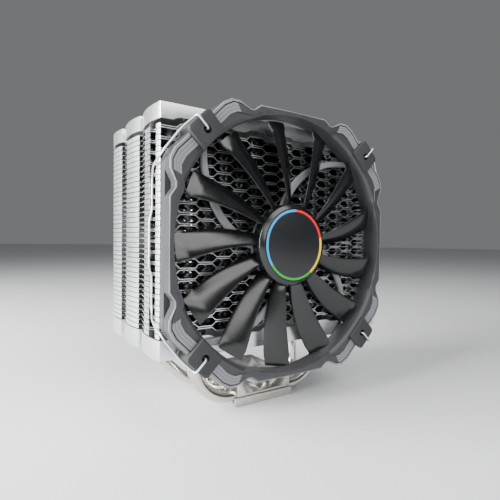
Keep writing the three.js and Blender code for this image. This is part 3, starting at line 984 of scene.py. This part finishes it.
class COOLER_OT_pipes(bpy.types.Operator):
    """Build the four heat pipes, bent into a U through the base"""

    bl_idname = "cooler.pipes"
    bl_label = "Heat pipes"

    def execute(self, context):
        pipes = context.scene.cooler_pipes
        risers = riser_places()[::2]
        for i, (base_y, bend) in enumerate(PIPE_BASES):
            node = f"heat_pipe_{i + 1}"
            right = half_pipe(pipes, base_y, bend, risers[i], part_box(node)[1].z)
            left = [Vector((-p.x, p.y, p.z)) for p in reversed(right)]
            bm = tube_mesh(left + right, pipes.radius)
            piece = new_piece(bm, node + "_tube", finish("plated_nickel"), sharp=50)
            stand_for(piece, "heatsink", "nickel_plate", node)
        return {"FINISHED"}


def pipe_grooves(pipes, radius):
    """Cutters for the pipes' grooves in the base."""
    bm = bmesh.new()
    centre_z = pipes.base_height
    reach = PLATE_HIGH.x + 5 * MM
    for base_y, _ in PIPE_BASES:
        cylinder(bm, radius, (-reach, base_y, centre_z), (reach, base_y, centre_z), 48)
    return bm


def pocket_cutter(bm, base, side):
    """Adds the cutter of one triangular pocket in the block's front face."""
    front = BLOCK_LOW.y
    corners = (
        (side * base.rib, base.pocket_low),
        (side * base.pocket_width, BLOCK_HIGH.z + MM),
        (side * base.rib, BLOCK_HIGH.z + MM),
    )
    plate_solid(bm, corners, front - MM, front + base.pocket_depth)


class COOLER_OT_base(bpy.types.Operator):
    """Build the cold plate and the block that clamps the pipes to it"""

    bl_idname = "cooler.base"
    bl_label = "Contact base"

    def execute(self, context):
        base = context.scene.cooler_base
        pipes = context.scene.cooler_pipes
        bm = bmesh.new()
        rounded_box(bm, PLATE_LOW, PLATE_HIGH, base.edge)
        plate = new_piece(bm, "cold_plate_milled", finish("machined_nickel"))
        cut(plate, pipe_grooves(pipes, base.groove_radius))
        stand_for(plate, "heatsink", "nickel_plate", "cold_plate")
        bm = bmesh.new()
        rounded_box(bm, BLOCK_LOW, BLOCK_HIGH, base.edge)
        block = new_piece(bm, "base_block_milled", finish("machined_nickel"))
        cut(block, pipe_grooves(pipes, base.groove_radius))
        pockets = bmesh.new()
        for side in (-1, 1):
            pocket_cutter(pockets, base, side)
        cut(block, pockets)
        stand_for(block, "heatsink", "nickel_plate", "base_block")
        return {"FINISHED"}


# ---------------------------------------------------------------- fan frame and pads

# Half of one side of the frame in mm, from its middle to its cut corner: along, out
FLANGE_HALF_SIDE = ((38.5, 69.8), (43, 67.4))
RIM_HALF_SIDE = ((21.5, 69.8), (25.5, 66.9), (28, 66.9), (34, 69.8), (38.5, 69.8), (43, 67.4))
OUTLINE_STEP = math.radians(1.2)
LOBE_WIDTH = 10.5 * MM  # the grooved strip lies where the ring is wider than this
FULL_WIDTH = 10 * MM  # where the ring is narrower than this, its details shrink with it
RELIEF_WIDTHS = (4 * MM, 9 * MM)  # the front's relief grows between these widths of the ring


def outline_corners(half_side):
    """The corners of a closed outline round the fan, from half of one of its sides."""
    side = [(-a * MM, o * MM) for a, o in reversed(half_side)]
    side += [(a * MM, o * MM) for a, o in half_side]
    corners = []
    for turn in range(4):
        c, s = math.cos(turn * math.pi / 2), math.sin(turn * math.pi / 2)
        corners += [Vector((o * c - a * s, o * s + a * c)) for a, o in side]
    return corners


def reach_at(corners, direction):
    """How far an outline reaches in a direction."""
    for first, second in zip(corners, corners[1:] + corners[:1]):
        edge = second - first
        across = direction.x * edge.y - direction.y * edge.x
        if abs(across) < 1e-12:
            continue
        share = (first.x * direction.y - first.y * direction.x) / across
        reach = (first.x * edge.y - first.y * edge.x) / across
        if reach > 0 and -1e-6 <= share <= 1 + 1e-6:
            return reach
    raise RuntimeError("the outline isn't closed")


def frame_outline():
    """The frame's outline as (angle, rim radius, flange radius), with all its corners."""
    rim = outline_corners(RIM_HALF_SIDE)
    flange = outline_corners(FLANGE_HALF_SIDE)
    outline = []
    for first, second in zip(rim, rim[1:] + rim[:1]):
        count = max(1, round(abs(first.angle_signed(second)) / OUTLINE_STEP))
        for i in range(count):
            point = first.lerp(second, i / count)
            flange_radius = reach_at(flange, point.normalized())
            outline.append((math.atan2(point.y, point.x), point.length, flange_radius))
    return outline


def frame_section(f, rim_radius, flange_radius):
    """The frame's section at one place: [radius, depth, whether the next face is light]."""
    width = rim_radius - f.bore
    room = min(1, width / FULL_WIDTH)
    full = smooth_share(width, *RELIEF_WIDTHS)
    on_lobe = width > LOBE_WIDTH
    front = f.rim_front
    back = FAN_BACK - FAN_FRONT
    edge = f.edge * room
    lean = 0.05 * MM * room
    section = [
        (flange_radius, back - f.edge, False),
        (flange_radius, f.flange_front + 0.3 * MM, False),
        (flange_radius - 0.3 * MM, f.flange_front, False),
        (rim_radius - 0.5 * MM, f.flange_front, False),
        (rim_radius - 0.5 * MM, f.flange_front - 0.6 * MM, False),
        (rim_radius, f.flange_front - 0.8 * MM, False),
        (rim_radius, front + edge, True),
        (rim_radius - edge, front, True),
    ]
    radius = rim_radius - f.ridge * room
    # The faces inside the groove and the fine lines take the charcoal slot, as painted shade in
    # these grooves; the lands between them take the grey slot
    lines = ((0, f.groove, full), (f.strip / 3, f.line, on_lobe), (f.strip / 3, f.line, on_lobe))
    for land, line, share in lines:
        radius -= land * room
        bottom = front + f.groove_depth * share * line / f.groove
        section += [
            (radius, front, False),
            (radius - lean, bottom, False),
            (radius - line * room + lean, bottom, False),
            (radius - line * room, front, on_lobe),
        ]
        radius -= line * room
    radius -= f.strip / 3 * room
    low = front + f.face_drop * full
    lip = low + 0.15 * MM
    flare = f.bore_flare * full
    section += [
        (radius, front, False),
        (radius - 0.2 * MM * room, low, False),
        (f.bore + flare + edge * 0.5, low, False),
        (f.bore + flare, lip, False),
        (f.bore + flare * 0.3, lip + 0.9 * MM * room, False),
        (f.bore, lip + 2.4 * MM * room, False),
        (f.bore, back - f.edge, False),
        (f.bore + f.edge, back, False),
        (flange_radius - f.edge, back, False),
    ]
    return section


def frame_ring(f):
    """The bmesh of the frame's ring, swept round its outline with the section of each place."""
    outline = frame_outline()
    sections = [frame_section(f, rim, flange) for _, rim, flange in outline]
    size = len(sections[0])

    def place(column, row):
        turn = outline[column % len(outline)][0]
        radius, depth, _ = sections[column % len(outline)][row % size]
        return fan_point(radius, turn, depth)

    bm = bmesh.new()
    mapped_grid(bm, len(outline), size, place, lambda column, row: int(sections[column][row][2]))
    weld(bm, 1e-7)
    return bm


def strut(bm, f, corner):
    """Adds one curved rear strut, from the rim at a corner to the motor base."""
    inner, outer = f.motor_radius - MM, f.bore + 1.2 * MM
    steps = 24
    half = f.strut_width / 2
    section = (
        (-half, f.strut_back - 0.5 * MM),
        (-half, f.strut_front + 0.8 * MM),
        (-half + 0.7 * MM, f.strut_front + 0.1 * MM),
        (half - 0.7 * MM, f.strut_front + 0.1 * MM),
        (half, f.strut_front + 0.8 * MM),
        (half, f.strut_back - 0.5 * MM),
        (half - 0.5 * MM, f.strut_back),
        (-half + 0.5 * MM, f.strut_back),
    )

    def place(column, row):
        share = column / steps
        radius = lerp(inner, outer, share)
        across, depth = section[row % len(section)]
        turn = math.radians(corner) + f.strut_turn * (1 - share)
        return fan_point(radius, turn + across / radius, depth)

    verts = mapped_grid(bm, steps, len(section), place)
    bmesh.ops.remove_doubles(bm, verts=verts, dist=1e-7)
    ends = [e for e in bm.edges if e.is_boundary and e.is_valid]
    bmesh.ops.holes_fill(bm, edges=ends, sides=0)


def motor_base(bm, f):
    """Adds the motor base, a dished disc that carries the bearing."""
    front, back, radius = f.strut_front, f.strut_back, f.motor_radius
    turned(
        bm,
        (
            (0, front + 1.2 * MM),
            (2.2 * MM, front + 1.2 * MM),
            (2.2 * MM, front),
            (radius - 0.5 * MM, front),
            (radius, front + 0.5 * MM),
            (radius, back - 0.6 * MM),
            (radius - 0.6 * MM, back),
            (radius - 1.8 * MM, back),
            (radius - 2.2 * MM, back - 0.4 * MM),
            (0, back - 0.4 * MM),
        ),
    )


def pad_outline(half, inner, outer, corner):
    """The outline of a pad's plate, with rounded outer corners."""
    points = [(-half, inner)]
    for side, start in ((-1, 180), (1, 90)):
        for i in range(6):
            turn = math.radians(start - 18 * i)
            across, up = corner * math.cos(turn), corner * math.sin(turn)
            points.append((side * (half - corner) + across, outer - corner + up))
    points.append((half, inner))
    return points


def pad_solids(f, corner, grow, edge):
    """The bmesh of a corner pad's two plates and web, turned into its corner."""
    bm = bmesh.new()
    front = FAN_FRONT - f.pad_proud - grow
    back = FAN_BACK - 0.2 * MM + grow
    outer = f.pad_outer + grow
    plate_back = FAN_FRONT - f.pad_proud + f.pad_plate + grow
    rear_front = FAN_BACK - 0.2 * MM - f.pad_plate + f.pad_proud - grow
    half = f.pad_width / 2 + grow
    web = f.pad_web_width / 2 + grow
    inner, web_inner = f.pad_inner - grow, f.pad_web_inner - grow
    plate_solid(bm, pad_outline(half, inner, outer, f.pad_corner), front, plate_back, edge)
    plate_solid(bm, pad_outline(half, web_inner, outer, f.pad_corner), rear_front, back, edge)
    web_low = (-web, front + MM, web_inner)
    web_high = (web, back - MM, outer - 0.4 * MM)
    rounded_box(bm, web_low, web_high, max(edge, 0.2 * MM))
    turn = Matrix.Rotation(math.radians(90 - corner), 3, "Y")
    bmesh.ops.rotate(bm, cent=(0, 0, 0), matrix=turn, verts=bm.verts[:])
    bmesh.ops.translate(bm, vec=(0, 0, FAN_Z), verts=bm.verts[:])
    return bm


class COOLER_OT_frame(bpy.types.Operator):
    """Build the fan's frame with its lobes, rear struts and motor base"""

    bl_idname = "cooler.frame"
    bl_label = "Fan frame"

    def execute(self, context):
        f = context.scene.cooler_frame
        plastics = finish("frame_dark_abs"), finish("frame_grey_abs")
        ring = new_piece(frame_ring(f), "fan_frame_ring", *plastics, sharp=28)
        for corner in CORNERS.values():
            cut(ring, pad_solids(f, corner, 0.15 * MM, 0))
        stand_for(ring, "heatsink", "frame_plastic", "fan_frame")
        bm = bmesh.new()
        for corner in CORNERS.values():
            strut(bm, f, corner)
        motor_base(bm, f)
        weld(bm, 1e-7)
        carrier = new_piece(bm, "motor_carrier", finish("frame_grey_abs"), sharp=28)
        stand_for(carrier, "heatsink", "frame_plastic", "fan_frame")
        return {"FINISHED"}


class COOLER_OT_pads(bpy.types.Operator):
    """Build the four rubber corner pads"""

    bl_idname = "cooler.pads"
    bl_label = "Corner pads"

    def execute(self, context):
        f = context.scene.cooler_frame
        for name, corner in CORNERS.items():
            node = "corner_pad_" + name
            bm = pad_solids(f, corner, 0, 0.6 * MM)
            bmesh.ops.recalc_face_normals(bm, faces=bm.faces[:])
            pad = new_piece(bm, node + "_rubber", finish("moulded_rubber"))
            turn = math.radians(corner)
            reach = f.screw_offset * math.sqrt(2)
            depth = FAN_BACK - FAN_FRONT
            hole = bmesh.new()
            ends = fan_point(reach, turn, -3 * MM), fan_point(reach, turn, depth + MM)
            cylinder(hole, f.pad_hole, *ends)
            cut(pad, hole)
            stand_for(pad, "heatsink", "pad_rubber", node)
        return {"FINISHED"}


# ---------------------------------------------------------------- rotor and motor


def blade(bm, r, index):
    """Adds one blade with a rounded leading edge and a thin trailing edge."""
    around, along = 20, 18
    root = r.hub_radius - 0.8 * MM
    tip = r.tip_angle + 2 * math.pi * index / r.blades

    def place(column, row):
        span = row / along
        radius = lerp(root, r.tip_radius, span)
        turn = 2 * math.pi * column / around
        chord = (1 - math.cos(turn)) / 2
        fade = math.sqrt(max(0, 1 - max(0, span - 0.94) ** 2 / 0.0036))
        if row == 0:
            fade = 0
        body = math.sqrt(max(chord, 0)) * (1 - chord) ** 0.6 * 1.9
        skin = math.copysign(1, math.sin(turn)) if column % (around // 2) else 0
        thickness = r.thickness * fade * skin * min(1, body) / 2
        leading = tip - r.sweep * (1 - span)
        place_angle = leading - lerp(r.root_chord, r.tip_chord, span) * chord
        curl = smooth_share(radius, r.tip_radius - 5.5 * MM, r.tip_radius - 3 * MM) * 1.5 * MM
        front = lerp(3.6 * MM, 3 * MM, span) + curl
        back = lerp(8.8 * MM, 9.1 * MM, span) - curl * 0.6
        depth = lerp(front, back, 0.72 * chord + 0.28 * chord * chord)
        return fan_point(radius, place_angle, depth + thickness)

    verts = mapped_grid(bm, around, along, place)
    bmesh.ops.remove_doubles(bm, verts=verts, dist=1e-7)


def hub(bm, r):
    """Adds the hub, an open cup with a recess in front for the badge."""
    front = HUB_FRONT - FAN_FRONT
    back = front + r.hub_depth
    recess = BADGE_RADIUS + 0.15 * MM
    inner = r.hub_radius - 1.4 * MM
    shoulder = r.hub_shoulder
    turned(
        bm,
        (
            (0, front + 1.2 * MM),
            (recess, front + 1.2 * MM),
            (recess, front + 0.2 * MM),
            (recess + 0.15 * MM, front + 0.02 * MM),
            (recess + 0.4 * MM, front + 0.05 * MM),
            (recess + 0.7 * MM, front + 0.25 * MM),
            (r.hub_radius - 0.5 * MM, shoulder - 0.35 * MM),
            (r.hub_radius - 0.12 * MM, shoulder),
            (r.hub_radius, shoulder + 0.5 * MM),
            (r.hub_radius, back - 0.3 * MM),
            (r.hub_radius - 0.3 * MM, back),
            (inner, back),
            (inner, front + 2.6 * MM),
            (0, front + 2.6 * MM),
        ),
        steps=128,
    )


def ring_arc(bm, r, start, end, depth):
    """Adds one stretch of the coloured ring."""
    steps = max(4, round(abs(end - start) / 3))

    def place(column, row):
        turn = math.radians(lerp(start, end, column / steps))
        return fan_point(lerp(r.ring_inner, r.ring_outer, row / 2), turn, depth)

    verts = mapped_grid(bm, steps, 2, place)
    bm.normal_update()
    bmesh.ops.solidify(bm, geom=faces_of(verts), thickness=0.12 * MM)
    bmesh.ops.recalc_face_normals(bm, faces=bm.faces[:])


# The coloured ring's stretches: ink, start and end in degrees
RING_ARCS = (("red", 13, 89), ("blue", 89, 215), ("green", 215, 307), ("yellow", 307, 373))


class COOLER_OT_rotor(bpy.types.Operator):
    """Build the hub, its blades, the badge and the coloured ring"""

    bl_idname = "cooler.rotor"
    bl_label = "Rotor"

    def execute(self, context):
        r = context.scene.cooler_rotor
        bm = bmesh.new()
        hub(bm, r)
        for i in range(r.blades):
            blade(bm, r, i)
        bmesh.ops.recalc_face_normals(bm, faces=bm.faces[:])
        rotor = new_piece(bm, "fan_rotor_moulding", finish("blade_pbt"), sharp=40)
        stand_for(rotor, "rotor", "blade_plastic", "fan_rotor")
        bm = bmesh.new()
        front = HUB_FRONT - FAN_FRONT
        radius = BADGE_RADIUS - 0.05 * MM
        turned(
            bm,
            (
                (0, front + 0.15 * MM),
                (radius - 0.4 * MM, front + 0.15 * MM),
                (radius, front + 0.35 * MM),
                (radius, front + 0.9 * MM),
                (0, front + 0.9 * MM),
            ),
            steps=128,
        )
        weld(bm)
        badge = new_piece(bm, "hub_badge_disc", finish("badge_film"))
        stand_for(badge, "rotor", "badge_print", "hub_badge")
        for ink, start, end in RING_ARCS:
            bm = bmesh.new()
            ring_arc(bm, r, start, end, front + 0.1 * MM)
            arc = new_piece(bm, f"ring_{ink}", finish(ink + "_ink"))
            stand_for(arc, "rotor", "badge_print", "hub_badge")
        return {"FINISHED"}


class COOLER_OT_motor(bpy.types.Operator):
    """Give the motor's inner parts their finishes"""

    bl_idname = "cooler.motor"
    bl_label = "Motor"

    def execute(self, context):
        finishes = {
            "motor_stator": "wound_copper",
            "motor_board": "glass_laminate",
            "bearing_sleeve": "turned_brass",
            "rotor_shaft": "spring_steel",
            "magnet_ring": "sintered_ferrite",
        }
        for node, name in finishes.items():
            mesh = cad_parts[node].data
            mesh.materials.clear()
            mesh.materials.append(finish(name))
        return {"FINISHED"}


# ---------------------------------------------------------------- wire clips

# The wire's corners, from the hook in the fan's upper hole to the upper end of the finger
# bow: distance from the middle plane, y, and height above the fan's centre
WIRE_CORNERS = (
    (52.5, -46.1, 52.5),
    (52.5, -48.3, 52.5),
    (53, -49, 53),
    (57.4, -49, 57.4),
    (58, -48.3, 58),
    (58.3, -46.8, 57.7),
    (63.8, -44.4, 52.2),
    (70.4, -41.6, 42.8),
    (71.6, -40, 40.2),
    (71.7, -34, 38),
    (71.6, -30, 36),
    (70.2, -25.6, 32),
    (70.1, -25, 29),
    (70.1, -25, 16),
    (71.4, -25, 11),
)


class COOLER_OT_clips(bpy.types.Operator):
    """Build the two wire clips that hold the fan to the stack"""

    bl_idname = "cooler.clips"
    bl_label = "Wire clips"

    def execute(self, context):
        clip = context.scene.cooler_clip
        for name, side in (("left", -1), ("right", 1)):
            upper = [(side * x * MM, y * MM, FAN_Z + z * MM) for x, y, z in WIRE_CORNERS]
            lower = [(side * x * MM, y * MM, FAN_Z - z * MM) for x, y, z in reversed(WIRE_CORNERS)]
            bm = tube_mesh(rounded_path(upper + lower, clip.bend), clip.radius, 4)
            wire = new_piece(bm, f"fan_clip_{name}_wire", finish("spring_steel"), sharp=50)
            stand_for(wire, f"clip_{name}", "spring_steel", f"fan_clip_{name}")
        return {"FINISHED"}


# ---------------------------------------------------------------- stage


def add_area_light(name, place, target, size, power):
    """Adds a square soft light that faces a target."""
    light = bpy.data.lights.new(name, "AREA")
    light.size = size
    light.energy = power
    holder = bpy.data.objects.new(name, light)
    holder.location = place
    holder.rotation_euler = (Vector(target) - Vector(place)).to_track_quat("-Z", "Y").to_euler()
    bpy.context.scene.collection.objects.link(holder)


class COOLER_OT_stage(bpy.types.Operator):
    """Set up the camera, the pale floor and the soft light"""

    bl_idname = "cooler.stage"
    bl_label = "Stage"

    def execute(self, context):
        stage = context.scene.cooler_stage
        camera_data = bpy.data.cameras.new("camera")
        camera_data.sensor_width = 36
        camera_data.lens = stage.lens
        camera_data.clip_start = 0.01
        camera = bpy.data.objects.new("camera", camera_data)
        turn = Matrix.Rotation(-stage.yaw, 4, "Z")
        tilt = Matrix.Rotation(math.pi / 2 + stage.pitch, 4, "X")
        roll = Matrix.Rotation(stage.roll, 4, "Z")
        camera.matrix_world = Matrix.Translation(stage.camera_place) @ turn @ tilt @ roll
        context.scene.collection.objects.link(camera)
        context.scene.camera = camera

        bm = bmesh.new()
        bmesh.ops.create_circle(bm, cap_ends=True, segments=96, radius=6)
        floor = new_piece(bm, "floor", finish("matt_floor"))

        world = bpy.data.worlds.new("surround")
        world.use_nodes = True
        background = world.node_tree.nodes["Background"]
        background.inputs["Color"].default_value = (*stage.sky, 1)
        background.inputs["Strength"].default_value = stage.sky_strength
        context.scene.world = world
        centre = (CAD_BOX[0] + CAD_BOX[1]) / 2
        add_area_light("key", (-0.75, 0.1, 0.3), centre, 0.6, stage.key)
        add_area_light("fill", (-0.35, -0.75, 0.45), centre, 0.5, stage.fill)
        add_area_light("top", (0.1, -0.5, 0.75), centre, 0.6, stage.top)
        return {"FINISHED"}


# ---------------------------------------------------------------- add-on

BUILD_STEPS = (
    COOLER_OT_stage,
    COOLER_OT_fins,
    COOLER_OT_caps,
    COOLER_OT_pipes,
    COOLER_OT_base,
    COOLER_OT_frame,
    COOLER_OT_pads,
    COOLER_OT_rotor,
    COOLER_OT_motor,
    COOLER_OT_clips,
)

SETTING_GROUPS = {
    "cooler_stack": StackSettings,
    "cooler_pipes": PipeSettings,
    "cooler_frame": FrameSettings,
    "cooler_rotor": RotorSettings,
    "cooler_clip": ClipSettings,
    "cooler_base": BaseSettings,
    "cooler_finish": FinishSettings,
    "cooler_stage": StageSettings,
}


class COOLER_PT_panel(bpy.types.Panel):
    """Lists the cooler's build steps"""

    bl_label = "Tower Cooler"
    bl_idname = "COOLER_PT_panel"
    bl_space_type = "VIEW_3D"
    bl_region_type = "UI"
    bl_category = "Tower Cooler"

    def draw(self, context):
        column = self.layout.column(align=True)
        for step in BUILD_STEPS:
            column.operator(step.bl_idname)


def register():
    """Registers the settings, the build steps and the panel."""
    for name, group in SETTING_GROUPS.items():
        bpy.utils.register_class(group)
        setattr(bpy.types.Scene, name, bpy.props.PointerProperty(type=group))
    for step in BUILD_STEPS:
        bpy.utils.register_class(step)
    bpy.utils.register_class(COOLER_PT_panel)


def unregister():
    """Takes away what register() added."""
    bpy.utils.unregister_class(COOLER_PT_panel)
    for step in reversed(BUILD_STEPS):
        bpy.utils.unregister_class(step)
    for name, group in reversed(SETTING_GROUPS.items()):
        delattr(bpy.types.Scene, name)
        bpy.utils.unregister_class(group)


def main():
    """Builds every piece."""
    register()
    for step in BUILD_STEPS:
        group, name = step.bl_idname.split(".")
        getattr(getattr(bpy.ops, group), name)()


if __name__ == "__main__":
    main()
